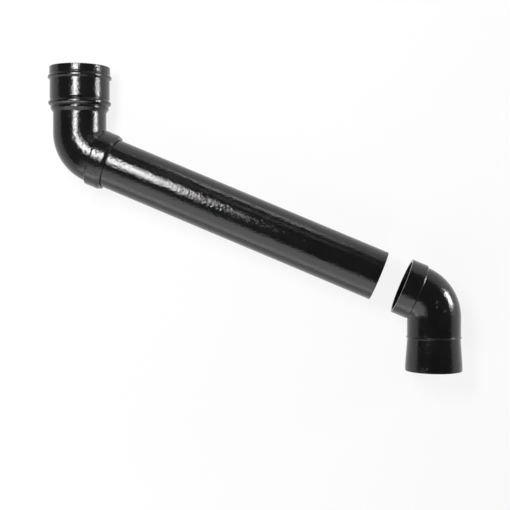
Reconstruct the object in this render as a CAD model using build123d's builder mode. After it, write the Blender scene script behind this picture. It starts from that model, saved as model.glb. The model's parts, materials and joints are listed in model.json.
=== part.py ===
from build123d import *
import math
import os

os.makedirs("parts", exist_ok=True)

# A two-part downpipe offset, in millimetres and degrees.
# The upper casting has a ringed socket, a bend and a collar, and the pipe stands in that collar.
# The lower bend is loose: it lies off the pipe's free end, in line with it, ready to be pushed on.
# Everything lies on a level floor at Z = 0, with the pipe running along X.

# Pipe, cut square
pipe_diameter = 76.0
pipe_wall = 2.0
pipe_length = 463.0

# Bend, the same in both castings: 67.5 off straight is the trade's 112.5 degree bend
bend_turn = 67.5
throat_radius = 0.4
casting_wall = 3.0

# Collar that takes the pipe
slip_clearance = 0.4
seat_width = 1.4
seat_past_bend = 1.7
seat_depth = 23.4
upper_collar_wall = 5.2
lower_collar_wall = 4.3

# Spigot at the foot of the lower bend
tail_run = 29.65
spigot_length = 50.0
spigot_step = 0.5
spigot_flare = 3.0
spigot_land = 8.0
spigot_chamfer = 0.8
stop_bead_height = 2.6
stop_bead_crown = 1.0
stop_bead_projection = 1.2

# Ringed socket at the head of the upper casting
neck_run = 29.85
neck_slope = 5.0
neck_bead_crown = 2.4
neck_bead_projection = 3.6
neck_bead_to_ring = 3.0
neck_groove_depth = 0.8
socket_clearance = 0.4
socket_spare_depth = 4.7
socket_wall = 2.1
ring_height = 7.3
ring_crown = 3.0
ring_projection = 2.8
ring_to_rim = 15.8
cove_height = 3.8
cove_depth = 0.7
rim_band_height = 9.5
rim_band_projection = 0.6
rim_chamfer = 1.0

# Lay of the loose bend
pulled_gap = 37.2

# Radii that follow from those above
pipe_radius = pipe_diameter / 2
pipe_bore_radius = pipe_radius - pipe_wall
seat_bore_radius = pipe_radius + slip_clearance
passage_radius = seat_bore_radius - seat_width
tube_radius = passage_radius + casting_wall
upper_collar_radius = seat_bore_radius + upper_collar_wall
lower_collar_radius = seat_bore_radius + lower_collar_wall
bend_radius = tube_radius + throat_radius
spigot_top_radius = tube_radius - spigot_step
spigot_rim_radius = spigot_top_radius + spigot_flare
socket_bore_radius = spigot_rim_radius + socket_clearance
socket_radius = socket_bore_radius + socket_wall
ring_radius = socket_radius + ring_projection
rim_band_radius = socket_radius + rim_band_projection
neck_bead_radius = tube_radius + neck_bead_projection

# Places along the pipe's axis, measured from a bend's corner, where its two axes meet
turn = math.radians(bend_turn)
bend_end = bend_radius * math.tan(turn / 2)
seat_position = bend_end + seat_past_bend
collar_end = seat_position + seat_depth

# Levels up the socket's axis, measured from the same corner
neck_foot = bend_end + neck_run
neck_bead_start = neck_foot + neck_slope
neck_bead_end = neck_bead_start + neck_bead_crown
lower_ring_start = neck_bead_end + neck_bead_to_ring
lower_ring_level = lower_ring_start + ring_height / 2
cove_start = lower_ring_start + ring_height
socket_seat_level = lower_ring_level
socket_rim_level = socket_seat_level + spigot_length + socket_spare_depth
upper_ring_level = socket_rim_level - ring_to_rim

# Levels down the spigot's axis
stop_bead_level = bend_end + tail_run
spigot_end_level = stop_bead_level + spigot_length

# The socket's axis and the spigot's axis both lie level.
# The rings are fatter than the spigot, so the flat of the offset leans a little towards the spigot.
corner_distance = seat_position + pipe_length + pulled_gap + collar_end
across = Vector(math.sin(turn), math.cos(turn), 0)
upward = Vector(-math.cos(turn), math.sin(turn), 0)
axis_drop = ring_radius - spigot_rim_radius
axis_spread = math.sqrt((corner_distance * math.sin(turn)) ** 2 - axis_drop**2)
corner_to_corner = across * axis_spread - upward * (corner_distance * math.cos(turn))
corner_to_corner = corner_to_corner - Vector(0, 0, axis_drop)


def end_reach(level, radius, chamfer_size, along, sideways):
    """How far a chamfered round end stands from its corner, in the direction of two cosines."""
    over_the_end = level * along + (radius - chamfer_size) * sideways
    over_the_side = (level - chamfer_size) * along + radius * sideways
    return max(over_the_end, over_the_side)


# The origin is on the floor, under the middle of the whole outline
socket_end = [socket_rim_level, rim_band_radius, rim_chamfer]
spigot_end = [spigot_end_level, spigot_rim_radius, spigot_chamfer]
lowest_x = -end_reach(*socket_end, math.cos(turn), math.sin(turn))
highest_x = corner_to_corner.X + end_reach(*spigot_end, math.cos(turn), math.sin(turn))
highest_y = end_reach(*socket_end, math.sin(turn), math.cos(turn))
lowest_y = corner_to_corner.Y - end_reach(*spigot_end, math.sin(turn), math.cos(turn))
upper_corner = Vector(-(lowest_x + highest_x) / 2, -(lowest_y + highest_y) / 2, ring_radius)
lower_corner = upper_corner + corner_to_corner

# A bend's own plane is at its corner: the collar leg runs along X and the other leg turns off it
pipe_direction = corner_to_corner.normalized()
flat_normal = pipe_direction.cross(upward).normalized()
upper_flat = Plane(origin=upper_corner, x_dir=pipe_direction, z_dir=flat_normal)
lower_flat = Plane(origin=lower_corner, x_dir=-pipe_direction, z_dir=flat_normal)


def collar_station(flat, distance):
    """A plane square to the collar leg, facing out of the collar."""
    place = flat.from_local_coords((distance, 0, 0))
    return Plane(origin=place, x_dir=flat.y_dir, z_dir=flat.x_dir)


def leg_direction(flat):
    """The way the other leg points, which is the socket's or the spigot's axis."""
    return flat.y_dir * math.sin(turn) - flat.x_dir * math.cos(turn)


def leg_section(flat):
    """A plane through the other leg's axis: X is the radius, and Y is the level."""
    outward = leg_direction(flat).cross(flat.z_dir)
    return Plane(origin=flat.origin, x_dir=outward, z_dir=flat.z_dir)


def turned_on_leg(flat, outline):
    """A solid turned round the other leg's axis from its half outline."""
    with BuildPart() as turned:
        with BuildSketch(leg_section(flat)):
            with BuildLine():
                Polyline(*outline, close=True)
            make_face()
        revolve(axis=Axis(flat.origin, leg_direction(flat)))
    return turned.part


def bent_bar(flat, radius, collar_leg, other_leg):
    """A round bar round the bend, with a straight run to the end of each leg."""
    arc_centre = flat.from_local_coords((bend_end, bend_radius, 0))
    with BuildPart() as bar:
        with BuildSketch(collar_station(flat, bend_end)) as section:
            Circle(radius)
        revolve(axis=Axis(arc_centre, -flat.z_dir), revolution_arc=bend_turn)
        extrude(section.sketch, amount=collar_leg - bend_end, dir=flat.x_dir)
        add(turned_on_leg(flat, [(0, bend_end), (radius, bend_end), (radius, other_leg), (0, other_leg)]))
    return bar.part


def collar_band(flat, radius):
    """The outside of the collar: it starts where the bend ends, with a crisp step up."""
    with BuildPart() as band:
        with BuildSketch(collar_station(flat, bend_end)):
            Circle(radius)
        extrude(amount=collar_end - bend_end)
    return band.part


def collar_seat(flat):
    """The bore of the collar, whose floor is a shoulder for the pipe's end."""
    with BuildPart() as bore:
        with BuildSketch(collar_station(flat, seat_position)):
            Circle(seat_bore_radius)
        extrude(amount=seat_depth)
    return bore.part


def raised_ring(foot_radius, level, height, crown, projection):
    """Half outline of a raised ring: two sloping sides and a flat crown."""
    return [
        (foot_radius, level - height / 2),
        (foot_radius + projection, level - crown / 2),
        (foot_radius + projection, level + crown / 2),
        (foot_radius, level + height / 2),
    ]


def raised_socket_ring(level):
    """Half outline of one of the two rings round the socket."""
    return raised_ring(socket_radius, level, ring_height, ring_crown, ring_projection)


socket_outline = [
    (0, bend_end),
    (tube_radius, bend_end),
    (tube_radius, neck_foot),
    (neck_bead_radius, neck_bead_start),
    (neck_bead_radius, neck_bead_end),
    (neck_bead_radius - neck_groove_depth, (neck_bead_end + lower_ring_start) / 2),
    *raised_socket_ring(lower_ring_level)[:3],
    (socket_radius - cove_depth, cove_start),
    (socket_radius, cove_start + cove_height),
    *raised_socket_ring(upper_ring_level),
    (rim_band_radius, socket_rim_level - rim_band_height),
    (rim_band_radius, socket_rim_level - rim_chamfer),
    (rim_band_radius - rim_chamfer, socket_rim_level),
    (0, socket_rim_level),
]

# The bore of the socket. Its flat floor, at the lower ring, is the seat for the spigot above.
socket_bore_outline = [
    (0, socket_seat_level),
    (socket_bore_radius, socket_seat_level),
    (socket_bore_radius, socket_rim_level),
    (0, socket_rim_level),
]

# The spigot flares to a short straight land at its end, where it fits the socket below
spigot_outline = [
    (0, bend_end),
    (tube_radius, bend_end),
    *raised_ring(
        tube_radius, stop_bead_level, stop_bead_height, stop_bead_crown, stop_bead_projection
    )[:3],
    (spigot_top_radius, stop_bead_level + stop_bead_height / 2),
    (spigot_rim_radius, spigot_end_level - spigot_land),
    (spigot_rim_radius, spigot_end_level - spigot_chamfer),
    (spigot_rim_radius - spigot_chamfer, spigot_end_level),
    (0, spigot_end_level),
]

# Upper casting
with BuildPart() as upper_bend:
    add(bent_bar(upper_flat, tube_radius, collar_end, neck_foot))
    add(collar_band(upper_flat, upper_collar_radius))
    add(turned_on_leg(upper_flat, socket_outline))
    add(bent_bar(upper_flat, passage_radius, collar_end, socket_seat_level), mode=Mode.SUBTRACT)
    add(collar_seat(upper_flat), mode=Mode.SUBTRACT)
    add(turned_on_leg(upper_flat, socket_bore_outline), mode=Mode.SUBTRACT)
upper_bend.part.label = "upper_bend"
export_step(upper_bend.part, "parts/upper_bend.step")

# Pipe, seated on the shoulder inside the upper collar
with BuildPart() as offset_pipe:
    with BuildSketch(collar_station(upper_flat, seat_position)):
        Circle(pipe_radius)
        Circle(pipe_bore_radius, mode=Mode.SUBTRACT)
    extrude(amount=pipe_length)
offset_pipe.part.label = "offset_pipe"
export_step(offset_pipe.part, "parts/offset_pipe.step")

# Loose lower bend
with BuildPart() as lower_bend:
    add(bent_bar(lower_flat, tube_radius, collar_end, stop_bead_level))
    add(collar_band(lower_flat, lower_collar_radius))
    add(turned_on_leg(lower_flat, spigot_outline))
    add(bent_bar(lower_flat, passage_radius, collar_end, spigot_end_level), mode=Mode.SUBTRACT)
    add(collar_seat(lower_flat), mode=Mode.SUBTRACT)
lower_bend.part.label = "lower_bend"
export_step(lower_bend.part, "parts/lower_bend.step")
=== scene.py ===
"""Looks of the downpipe offset: smooth coated castings and pipe, a pale floor and soft studio light."""

import math

import bmesh
import bpy
from mathutils import Matrix, Vector
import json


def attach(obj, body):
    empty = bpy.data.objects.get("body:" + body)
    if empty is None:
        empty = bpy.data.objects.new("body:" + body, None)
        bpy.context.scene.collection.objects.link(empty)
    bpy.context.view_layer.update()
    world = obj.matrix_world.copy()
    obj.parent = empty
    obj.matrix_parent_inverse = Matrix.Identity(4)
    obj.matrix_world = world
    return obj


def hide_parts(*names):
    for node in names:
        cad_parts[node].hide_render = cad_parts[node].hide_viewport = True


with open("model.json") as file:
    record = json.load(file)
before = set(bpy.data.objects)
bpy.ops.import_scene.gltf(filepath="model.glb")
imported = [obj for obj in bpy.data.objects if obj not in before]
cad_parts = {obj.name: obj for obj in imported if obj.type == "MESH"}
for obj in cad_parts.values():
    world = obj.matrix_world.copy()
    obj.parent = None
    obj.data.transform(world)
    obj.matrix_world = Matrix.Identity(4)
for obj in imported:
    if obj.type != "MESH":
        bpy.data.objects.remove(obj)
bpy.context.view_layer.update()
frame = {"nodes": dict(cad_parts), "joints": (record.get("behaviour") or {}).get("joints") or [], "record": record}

MM = 0.001

# Places and sizes that the frame gives: the socket's axis, the spigot's axis and the pipe's axis
mounts = {mount["name"]: mount for mount in frame["record"]["mounts"]}
socket_axis = Vector(mounts["top_socket"]["axis"]).normalized()
pipe_axis = -Vector(frame["joints"][0]["axis"]).normalized()
flat_normal = pipe_axis.cross(socket_axis).normalized()
socket_bore_radius = mounts["top_socket"]["dims"]["r_mm"] * MM
socket_depth = mounts["top_socket"]["dims"]["length_mm"] * MM
spigot_rim_radius = mounts["tail_spigot"]["dims"]["r_mm"] * MM
spigot_land = mounts["tail_spigot"]["dims"]["length_mm"] * MM

# Radii
pipe_radius = 38.0 * MM
pipe_bore_radius = 36.0 * MM
seat_bore_radius = 38.4 * MM
passage_radius = 37.0 * MM
tube_radius = 40.0 * MM
upper_collar_radius = 43.6 * MM
lower_collar_radius = 42.7 * MM
spigot_top_radius = 39.5 * MM
stop_bead_radius = 41.2 * MM
neck_bead_radius = 43.6 * MM
neck_groove_depth = 0.8 * MM
socket_radius = 45.0 * MM
lower_ring_radius = 47.1 * MM
upper_ring_radius = 47.8 * MM
cove_depth = 0.7 * MM
rim_band_radius = 45.6 * MM

# Lengths along the pipe
turn = math.radians(67.5)
bend_radius = 40.4 * MM
seat_past_bend = 1.7 * MM
seat_depth = 23.4 * MM
pipe_length = 463.0 * MM

# Lengths along the socket's axis
neck_run = 29.85 * MM
neck_slope = 5.0 * MM
neck_bead_crown = 2.4 * MM
neck_bead_to_ring = 3.0 * MM
ring_height = 7.3 * MM
ring_crown = 3.0 * MM
cove_height = 3.8 * MM
ring_to_rim = 15.8 * MM
rim_band_height = 9.5 * MM

# Lengths along the spigot's axis
tail_run = 29.65 * MM
stop_bead_height = 2.6 * MM
stop_bead_crown = 1.0 * MM
spigot_length = 50.0 * MM
spigot_straight = 8.0 * MM

# Bevelled lip of the upper collar
lip_length = 5.0 * MM
lip_drop = 2.0 * MM

# Pips of coat on the loose bend, each a dome partly sunk in the wall
pip_radius = 2.1 * MM
pip_sunk_share = 0.6

# Roundings that the cast and coated edges have
coated_edge = 0.35 * MM
small_edge = 0.6 * MM
soft_edge = 1.1 * MM
step_edge = 1.7 * MM
broad_edge = 2.2 * MM

# How finely the skins are divided
ROUND_STEPS = 200
ARC_STEPS = 5
BEND_STEPS = 40
LONGEST_GAP = 4.0 * MM
HOLDING_GAP = 0.25 * MM

# Distances from a bend's corner, where its two axes meet, along the pipe
bend_end = bend_radius * math.tan(turn / 2)
seat_position = bend_end + seat_past_bend
collar_end = seat_position + seat_depth

# Levels from the upper bend's corner, up the socket's axis
neck_foot = bend_end + neck_run
neck_bead_start = neck_foot + neck_slope
neck_bead_end = neck_bead_start + neck_bead_crown
lower_ring_start = neck_bead_end + neck_bead_to_ring
lower_ring_level = lower_ring_start + ring_height / 2
cove_start = lower_ring_start + ring_height
cove_end = cove_start + cove_height
socket_seat_level = lower_ring_level
socket_rim_level = socket_seat_level + socket_depth
upper_ring_level = socket_rim_level - ring_to_rim
rim_band_start = socket_rim_level - rim_band_height

# Levels from the loose bend's corner, down the spigot's axis
stop_bead_level = bend_end + tail_run
spigot_end_level = stop_bead_level + spigot_length
flare_end = spigot_end_level - spigot_straight

# The two corners, from where the frame puts the socket's bore and the spigot's land
socket_middle = (socket_seat_level + socket_rim_level) / 2
land_middle = flare_end + spigot_land / 2
upper_corner = Vector(mounts["top_socket"]["pos_m"]) - socket_axis * socket_middle
lower_corner = Vector(mounts["tail_spigot"]["pos_m"]) + socket_axis * land_middle


def object_from(mesh, name):
    """A smooth-shaded object in the scene, made from a bmesh that isn't needed any more."""
    for face in mesh.faces:
        face.smooth = True
    data = bpy.data.meshes.new(name)
    mesh.to_mesh(data)
    mesh.free()
    made = bpy.data.objects.new(name, data)
    bpy.context.scene.collection.objects.link(made)
    return made


def rounded(profile):
    """A finer outline of (distance, radius) points: each corner becomes an arc of its own rounding."""
    fine = [Vector(profile[0][:2])]
    for before, here, after in zip(profile, profile[1:], profile[2:]):
        corner = Vector(here[:2])
        back = Vector(before[:2]) - corner
        forth = Vector(after[:2]) - corner
        half_angle = back.angle(forth) / 2
        rounding = here[2]
        if rounding == 0 or math.pi / 2 - half_angle < 0.01:
            fine.append(corner)
            continue
        room = 0.49 * min(back.length, forth.length)
        run = min(rounding / math.tan(half_angle), room)
        back.normalize()
        forth.normalize()
        rounding = run * math.tan(half_angle)
        centre = corner + (back + forth).normalized() * (rounding / math.sin(half_angle))
        first = corner + back * run - centre
        swing = first.angle_signed(corner + forth * run - centre)
        fine.append(corner + back * (run + HOLDING_GAP))
        for step in range(ARC_STEPS + 1):
            angle = -swing * step / ARC_STEPS
            cosine, sine = math.cos(angle), math.sin(angle)
            turned = Vector((first.x * cosine - first.y * sine, first.x * sine + first.y * cosine))
            fine.append(centre + turned)
        fine.append(corner + forth * (run + HOLDING_GAP))
    fine.append(Vector(profile[-1][:2]))
    divided = [fine[0]]
    for point in fine[1:]:
        gap = point - divided[-1]
        parts = max(1, math.ceil(gap.length / LONGEST_GAP))
        start = divided[-1].copy()
        divided += [start + gap * (step / parts) for step in range(1, parts + 1)]
    return divided


class BentPath:
    """The axis of a bend: it comes in along one leg, turns at the corner and leaves along the other.

    A place on it is a distance from the corner: below zero on the collar's leg, above zero on the other."""

    def __init__(self, corner, collar_leg, other_leg):
        self.corner = corner
        self.collar_leg = collar_leg
        self.other_leg = other_leg
        self.side = flat_normal
        to_centre = (collar_leg + other_leg).normalized()
        self.arc_centre = corner + to_centre * (bend_radius / math.cos(turn / 2))

    def station(self, distance):
        """The point on the axis, and the direction of a ring's radius towards the throat."""
        if distance <= -bend_end:
            point = self.corner - self.collar_leg * distance
            foot = self.corner + self.collar_leg * bend_end
        elif distance >= bend_end:
            point = self.corner + self.other_leg * distance
            foot = self.corner + self.other_leg * bend_end
        else:
            start = self.corner + self.collar_leg * bend_end - self.arc_centre
            stop = self.corner + self.other_leg * bend_end - self.arc_centre
            share = (distance + bend_end) / (2 * bend_end)
            arm = start.slerp(stop, share).normalized() * bend_radius
            return self.arc_centre + arm, -arm.normalized()
        return point, (self.arc_centre - foot).normalized()


def ring_of_points(path, distance, radius):
    """One ring of the skin round the path."""
    centre, inward = path.station(distance)
    ring = []
    for step in range(ROUND_STEPS):
        angle = 2 * math.pi * step / ROUND_STEPS
        ring.append(centre + (inward * math.cos(angle) + path.side * math.sin(angle)) * radius)
    return ring


def skin(name, path, outline):
    """A closed skin of rings: the outline runs along the outside, round an end and back along the bore."""
    mesh = bmesh.new()
    rings = []
    for distance, radius in outline:
        rings.append([mesh.verts.new(point) for point in ring_of_points(path, distance, radius)])
    for ring, following in zip(rings, rings[1:] + rings[:1]):
        for step in range(ROUND_STEPS):
            after = (step + 1) % ROUND_STEPS
            mesh.faces.new((ring[step], ring[after], following[after], following[step]))
    bmesh.ops.recalc_face_normals(mesh, faces=mesh.faces)
    return object_from(mesh, name)


# Castings. An outline's corner is its distance or level, its radius and its rounding.
def bend_run(radius, forwards=True):
    """Outline points through the bend at one radius, dense enough for a smooth turn."""
    places = [-bend_end + 2 * bend_end * step / BEND_STEPS for step in range(BEND_STEPS + 1)]
    points = [Vector((place, radius)) for place in places]
    return points if forwards else points[::-1]


def raised_ring(foot_radius, level, height, crown, top_radius, foot_edge, top_edge):
    """Outline corners of a raised ring with soft edges."""
    return [
        (level - height / 2, foot_radius, foot_edge),
        (level - crown / 2, top_radius, top_edge),
        (level + crown / 2, top_radius, top_edge),
        (level + height / 2, foot_radius, foot_edge),
    ]


def socket_ring(level, top_radius):
    """Outline corners of one of the two rings round the socket."""
    return raised_ring(socket_radius, level, ring_height, ring_crown, top_radius, soft_edge, soft_edge)


def collar_outside(collar_radius, lip):
    """A collar, from the bend to the mouth, and then its bore back in."""
    return [
        (-bend_end, tube_radius, 0),
        (-bend_end, collar_radius, step_edge),
        *lip,
        (-collar_end, seat_bore_radius, small_edge),
        (-seat_position, seat_bore_radius, 0),
        (-seat_position, passage_radius, 0),
        (-bend_end, passage_radius, 0),
    ]


def casting(name, path, collar, far_leg):
    """A whole casting: round the bend, out along its far leg, back through the bore, out at the collar."""
    outline = bend_run(tube_radius)
    outline += rounded(far_leg)[1:-1]
    outline += bend_run(passage_radius, forwards=False)
    outline += rounded(collar)[::-1][1:-1]
    return skin(name, path, outline)


socket_leg = [
    (bend_end, tube_radius, 0),
    (neck_foot, tube_radius, broad_edge),
    (neck_bead_start, neck_bead_radius, soft_edge),
    (neck_bead_end, neck_bead_radius, soft_edge),
    ((neck_bead_end + lower_ring_start) / 2, neck_bead_radius - neck_groove_depth, soft_edge),
    *socket_ring(lower_ring_level, lower_ring_radius)[:3],
    (cove_start, socket_radius - cove_depth, soft_edge),
    (cove_end, socket_radius, broad_edge),
    *socket_ring(upper_ring_level, upper_ring_radius),
    (rim_band_start, rim_band_radius, small_edge),
    (socket_rim_level, rim_band_radius, soft_edge),
    (socket_rim_level, socket_bore_radius, small_edge),
    (socket_seat_level, socket_bore_radius, small_edge),
    (socket_seat_level, passage_radius, small_edge),
    (bend_end, passage_radius, 0),
]

stop_bead = raised_ring(
    tube_radius,
    stop_bead_level,
    stop_bead_height,
    stop_bead_crown,
    stop_bead_radius,
    foot_edge=small_edge,
    top_edge=coated_edge,
)
spigot_leg = [
    (bend_end, tube_radius, 0),
    *stop_bead[:3],
    (stop_bead_level + stop_bead_height / 2, spigot_top_radius, small_edge),
    (flare_end, spigot_rim_radius, broad_edge),
    (spigot_end_level, spigot_rim_radius, small_edge),
    (spigot_end_level, passage_radius, small_edge),
    (bend_end, passage_radius, 0),
]

bevelled_lip = [
    (-collar_end + lip_length, upper_collar_radius, small_edge),
    (-collar_end, upper_collar_radius - lip_drop, small_edge),
]
plain_lip = [(-collar_end, lower_collar_radius, small_edge)]
upper_collar = collar_outside(upper_collar_radius, bevelled_lip)
lower_collar = collar_outside(lower_collar_radius, plain_lip)

upper_path = BentPath(upper_corner, pipe_axis, socket_axis)
lower_path = BentPath(lower_corner, -pipe_axis, -socket_axis)
upper_casting = casting("upper_casting", upper_path, upper_collar, socket_leg)
lower_casting = casting("lower_casting", lower_path, lower_collar, spigot_leg)


def pip(name, path, sideways, outwards):
    """A bead of coat on the flat's upper side of a bend: a dome whose foot is sunk in the wall.

    Its place is measured from the corner, across the far leg and back along it."""
    side_direction = path.other_leg.cross(flat_normal)
    level_place = path.corner + side_direction * sideways - path.other_leg * outwards
    from_centre = level_place - path.arc_centre
    axis_point = path.arc_centre + from_centre.normalized() * bend_radius
    aside = level_place - axis_point
    normal = (aside + flat_normal * math.sqrt(tube_radius**2 - aside.length_squared)).normalized()
    mesh = bmesh.new()
    bmesh.ops.create_uvsphere(mesh, u_segments=24, v_segments=16, radius=pip_radius)
    dome = object_from(mesh, name)
    dome_centre = axis_point + normal * (tube_radius - pip_radius * pip_sunk_share)
    dome.matrix_world = Matrix.Translation(dome_centre)
    return dome


pips = [
    pip("upper_pip", lower_path, sideways=0.1 * MM, outwards=-2.3 * MM),
    pip("middle_pip", lower_path, sideways=-0.3 * MM, outwards=-9.3 * MM),
    pip("lower_pip", lower_path, sideways=-11.6 * MM, outwards=-15.0 * MM),
]

# Pipe: its outline starts and ends 1 mm past the seated end, so that this end's edge is rounded too
pipe_start = -seat_position
pipe_stop = -seat_position - pipe_length
outline_start = (pipe_start - 1 * MM, pipe_radius, 0)
pipe_outline = [
    outline_start,
    (pipe_stop, pipe_radius, coated_edge),
    (pipe_stop, pipe_bore_radius, coated_edge),
    (pipe_start, pipe_bore_radius, coated_edge),
    (pipe_start, pipe_radius, coated_edge),
    outline_start,
]
pipe_skin = skin("pipe_skin", upper_path, rounded(pipe_outline)[:-1])

for piece, body, node, slot_name in (
    (upper_casting, "upper_assembly", "upper_bend", "coated_casting"),
    (pipe_skin, "upper_assembly", "offset_pipe", "coated_pipe"),
    (lower_casting, "loose_bend", "lower_bend", "coated_casting"),
):
    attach(piece, body)
    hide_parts(node)
for piece in pips:
    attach(piece, "loose_bend")


def new_material(name):
    """An empty node material with its output."""
    material = bpy.data.materials.new(name)
    material.use_nodes = True
    nodes = material.node_tree.nodes
    nodes.clear()
    return material, nodes, material.node_tree.links, nodes.new("ShaderNodeOutputMaterial")


# The coat's black, from its darker to its lighter patches
DARK_PATCH = (0.0045, 0.0045, 0.005, 1)
LIGHT_PATCH = (0.0065, 0.0065, 0.007, 1)


def gloss_coat(name, grain, grain_depth, swell, swell_depth, roughness):
    """Black gloss coat: fine orange peel on slow swells, and a roughness that wanders a little."""
    material, nodes, links, output = new_material(name)
    place = nodes.new("ShaderNodeTexCoord")

    def noise(width, detail):
        texture = nodes.new("ShaderNodeTexNoise")
        texture.inputs["Scale"].default_value = 1 / width
        texture.inputs["Detail"].default_value = detail
        links.new(place.outputs["Object"], texture.inputs["Vector"])
        return texture

    def bump(texture, depth):
        relief = nodes.new("ShaderNodeBump")
        relief.inputs["Distance"].default_value = depth
        links.new(texture.outputs["Fac"], relief.inputs["Height"])
        return relief

    peel = noise(grain, 1.0)
    peel.inputs["Roughness"].default_value = 0.35
    waves = noise(swell, 1.0)
    wander = noise(swell * 2, 3.0)

    shader = nodes.new("ShaderNodeBsdfPrincipled")
    shader.inputs["IOR"].default_value = 1.5
    colour = nodes.new("ShaderNodeValToRGB")
    darker, lighter = colour.color_ramp.elements
    darker.position, darker.color = 0.35, DARK_PATCH
    lighter.position, lighter.color = 0.65, LIGHT_PATCH
    links.new(wander.outputs["Fac"], colour.inputs["Fac"])
    links.new(colour.outputs["Color"], shader.inputs["Base Color"])

    gloss = nodes.new("ShaderNodeMapRange")
    gloss.inputs["From Min"].default_value = 0.3
    gloss.inputs["From Max"].default_value = 0.7
    gloss.inputs["To Min"].default_value = roughness * 0.8
    gloss.inputs["To Max"].default_value = roughness * 1.2
    links.new(wander.outputs["Fac"], gloss.inputs["Value"])
    links.new(gloss.outputs["Result"], shader.inputs["Roughness"])

    slow = bump(waves, swell_depth)
    fine = bump(peel, grain_depth)
    links.new(slow.outputs["Normal"], fine.inputs["Normal"])
    links.new(fine.outputs["Normal"], shader.inputs["Normal"])
    links.new(shader.outputs["BSDF"], output.inputs["Surface"])
    return material


casting_coat = gloss_coat(
    "casting_coat",
    grain=2.4 * MM,
    grain_depth=0.34 * MM,
    swell=14 * MM,
    swell_depth=0.22 * MM,
    roughness=0.125,
)
pipe_coat = gloss_coat(
    "pipe_coat",
    grain=2.3 * MM,
    grain_depth=0.37 * MM,
    swell=20 * MM,
    swell_depth=0.16 * MM,
    roughness=0.125,
)
for piece in (upper_casting, lower_casting, *pips):
    piece.data.materials.append(casting_coat)
pipe_skin.data.materials.append(pipe_coat)
for node in frame["nodes"].values():
    coat = pipe_coat if "pipe" in node.name else casting_coat
    for holder in node.material_slots:
        holder.material = coat


# Floor: pale and matt. Seen straight or in a reflection it is near white, and it keeps the shadow.
def pale_matt(name, shade, own_white):
    """A matt white surface that the camera, gloss and glass see lifted towards white."""
    material, nodes, links, output = new_material(name)
    matt = nodes.new("ShaderNodeBsdfDiffuse")
    matt.inputs["Color"].default_value = (shade, shade, shade, 1)
    white = nodes.new("ShaderNodeEmission")
    white.inputs["Strength"].default_value = 1.0
    ray = nodes.new("ShaderNodeLightPath")

    def combined(operation, first):
        node = nodes.new("ShaderNodeMath")
        node.operation = operation
        links.new(first, node.inputs[0])
        return node

    seen = combined("MAXIMUM", ray.outputs["Is Camera Ray"])
    links.new(ray.outputs["Is Glossy Ray"], seen.inputs[1])
    also = combined("MAXIMUM", seen.outputs["Value"])
    links.new(ray.outputs["Is Transmission Ray"], also.inputs[1])
    share = combined("MULTIPLY", also.outputs["Value"])
    share.inputs[1].default_value = own_white
    mix = nodes.new("ShaderNodeMixShader")
    links.new(share.outputs["Value"], mix.inputs["Fac"])
    links.new(matt.outputs["BSDF"], mix.inputs[1])
    links.new(white.outputs["Emission"], mix.inputs[2])
    links.new(mix.outputs["Shader"], output.inputs["Surface"])
    return material


def floor_with_wall(name, flat_radius, sweep, wall_height, steps=96, sweep_steps=12):
    """A round floor that sweeps up into a low wall."""
    rim = [(flat_radius, 0.0)]
    for step in range(1, sweep_steps + 1):
        angle = math.pi / 2 * step / sweep_steps
        rim.append((flat_radius + sweep * math.sin(angle), sweep * (1 - math.cos(angle))))
    rim.append((flat_radius + sweep, wall_height))
    mesh = bmesh.new()
    middle = mesh.verts.new((0, 0, 0))
    rings = []
    for radius, height in rim:
        ring = []
        for step in range(steps):
            angle = 2 * math.pi * step / steps
            ring.append(mesh.verts.new((radius * math.cos(angle), radius * math.sin(angle), height)))
        rings.append(ring)
    for step in range(steps):
        after = (step + 1) % steps
        mesh.faces.new((middle, rings[0][step], rings[0][after]))
        for ring, following in zip(rings, rings[1:]):
            mesh.faces.new((ring[step], following[step], following[after], ring[after]))
    return object_from(mesh, name)


floor = floor_with_wall("floor", flat_radius=5.0, sweep=1.0, wall_height=1.6)
floor.data.materials.append(pale_matt("floor_white", shade=0.88, own_white=0.85))


# Light. Places are metres from the upper bend's corner: along the pipe, across it, and up.
across_pipe = flat_normal.cross(pipe_axis)


def place_from_corner(along, across, up):
    """A point in the frame, from its place beside the upper bend's corner."""
    return upper_corner + pipe_axis * along + across_pipe * across + flat_normal * up


def area_light(name, place, target, width, length, radiance):
    """A soft panel of light that faces a target. Its width lies along the pipe."""
    data = bpy.data.lights.new(name, "AREA")
    data.shape = "RECTANGLE"
    data.size = width
    data.size_y = length
    data.energy = radiance * math.pi * width * length
    lamp = bpy.data.objects.new(name, data)
    out_of_panel = (place - target).normalized()
    side = (pipe_axis - out_of_panel * pipe_axis.dot(out_of_panel)).normalized()
    turned = Matrix((side, out_of_panel.cross(side), out_of_panel)).transposed()
    lamp.matrix_world = Matrix.Translation(place) @ turned.to_4x4()
    lamp.visible_camera = False
    bpy.context.scene.collection.objects.link(lamp)


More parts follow.
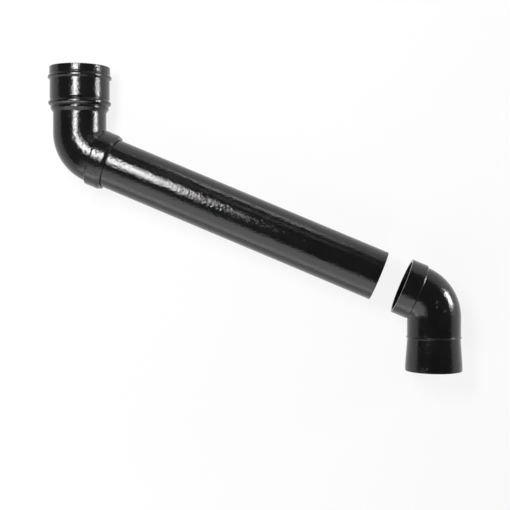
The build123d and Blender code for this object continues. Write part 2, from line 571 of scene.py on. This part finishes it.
# Broad highlight down the neck, round the bend and along the pipe
area_light(
    "key",
    place=place_from_corner(-0.155, 0.265, 1.1),
    target=place_from_corner(-0.155, 0.265, 0),
    width=0.28,
    length=0.54,
    radiance=29,
)
# Second highlight on the neck and the socket, and the one on the loose bend
area_light(
    "low_strip",
    place=place_from_corner(1.383, 0.757, 0.115),
    target=place_from_corner(0.3, 0.309, 0.115),
    width=0.4,
    length=0.3,
    radiance=32,
)
# Thin line along the pipe, and a second one beside it
area_light(
    "line_strip",
    place=place_from_corner(0.19, 0.885, 0.165),
    target=place_from_corner(0.19, 0, 0),
    width=0.42,
    length=0.045,
    radiance=10,
)
area_light(
    "faint_strip",
    place=place_from_corner(0.2, 0.7, 0.567),
    target=place_from_corner(0.2, 0, 0),
    width=0.5,
    length=0.045,
    radiance=3,
)
# Grey band along the pipe's lower side
area_light(
    "side_panel",
    place=place_from_corner(0.28, -0.8, 0.62),
    target=place_from_corner(0.28, 0, 0.62),
    width=1.14,
    length=1.24,
    radiance=1.9,
)

world = bpy.data.worlds.new("studio")
world.use_nodes = True
sky = world.node_tree.nodes["Background"]
sky.inputs["Color"].default_value = (1, 1, 1, 1)
sky.inputs["Strength"].default_value = 0.07
bpy.context.scene.world = world

# Camera, at the photo's angle
camera_place = Vector((0.12704, 0.02911, 1.54597))
camera_aim = Vector((0.0411, -0.0364, 0.04666))
camera_roll = math.radians(-22.71)
camera_data = bpy.data.cameras.new("camera")
camera_data.sensor_width = 36
camera_data.lens = 70.46
camera_data.shift_x = -0.03
camera_data.shift_y = -0.01
camera = bpy.data.objects.new("camera", camera_data)
back = (camera_place - camera_aim).normalized()
level_up = (Vector((0, 1, 0)) - back * back.y).normalized()
level_right = level_up.cross(back)
camera_up = level_up * math.cos(camera_roll) + level_right * math.sin(camera_roll)
camera_right = camera_up.cross(back)
camera_turn = Matrix((camera_right, camera_up, back)).transposed()
camera.matrix_world = Matrix.Translation(camera_place) @ camera_turn.to_4x4()
bpy.context.scene.collection.objects.link(camera)
bpy.context.scene.camera = camera
bpy.context.scene.view_settings.view_transform = "Standard"
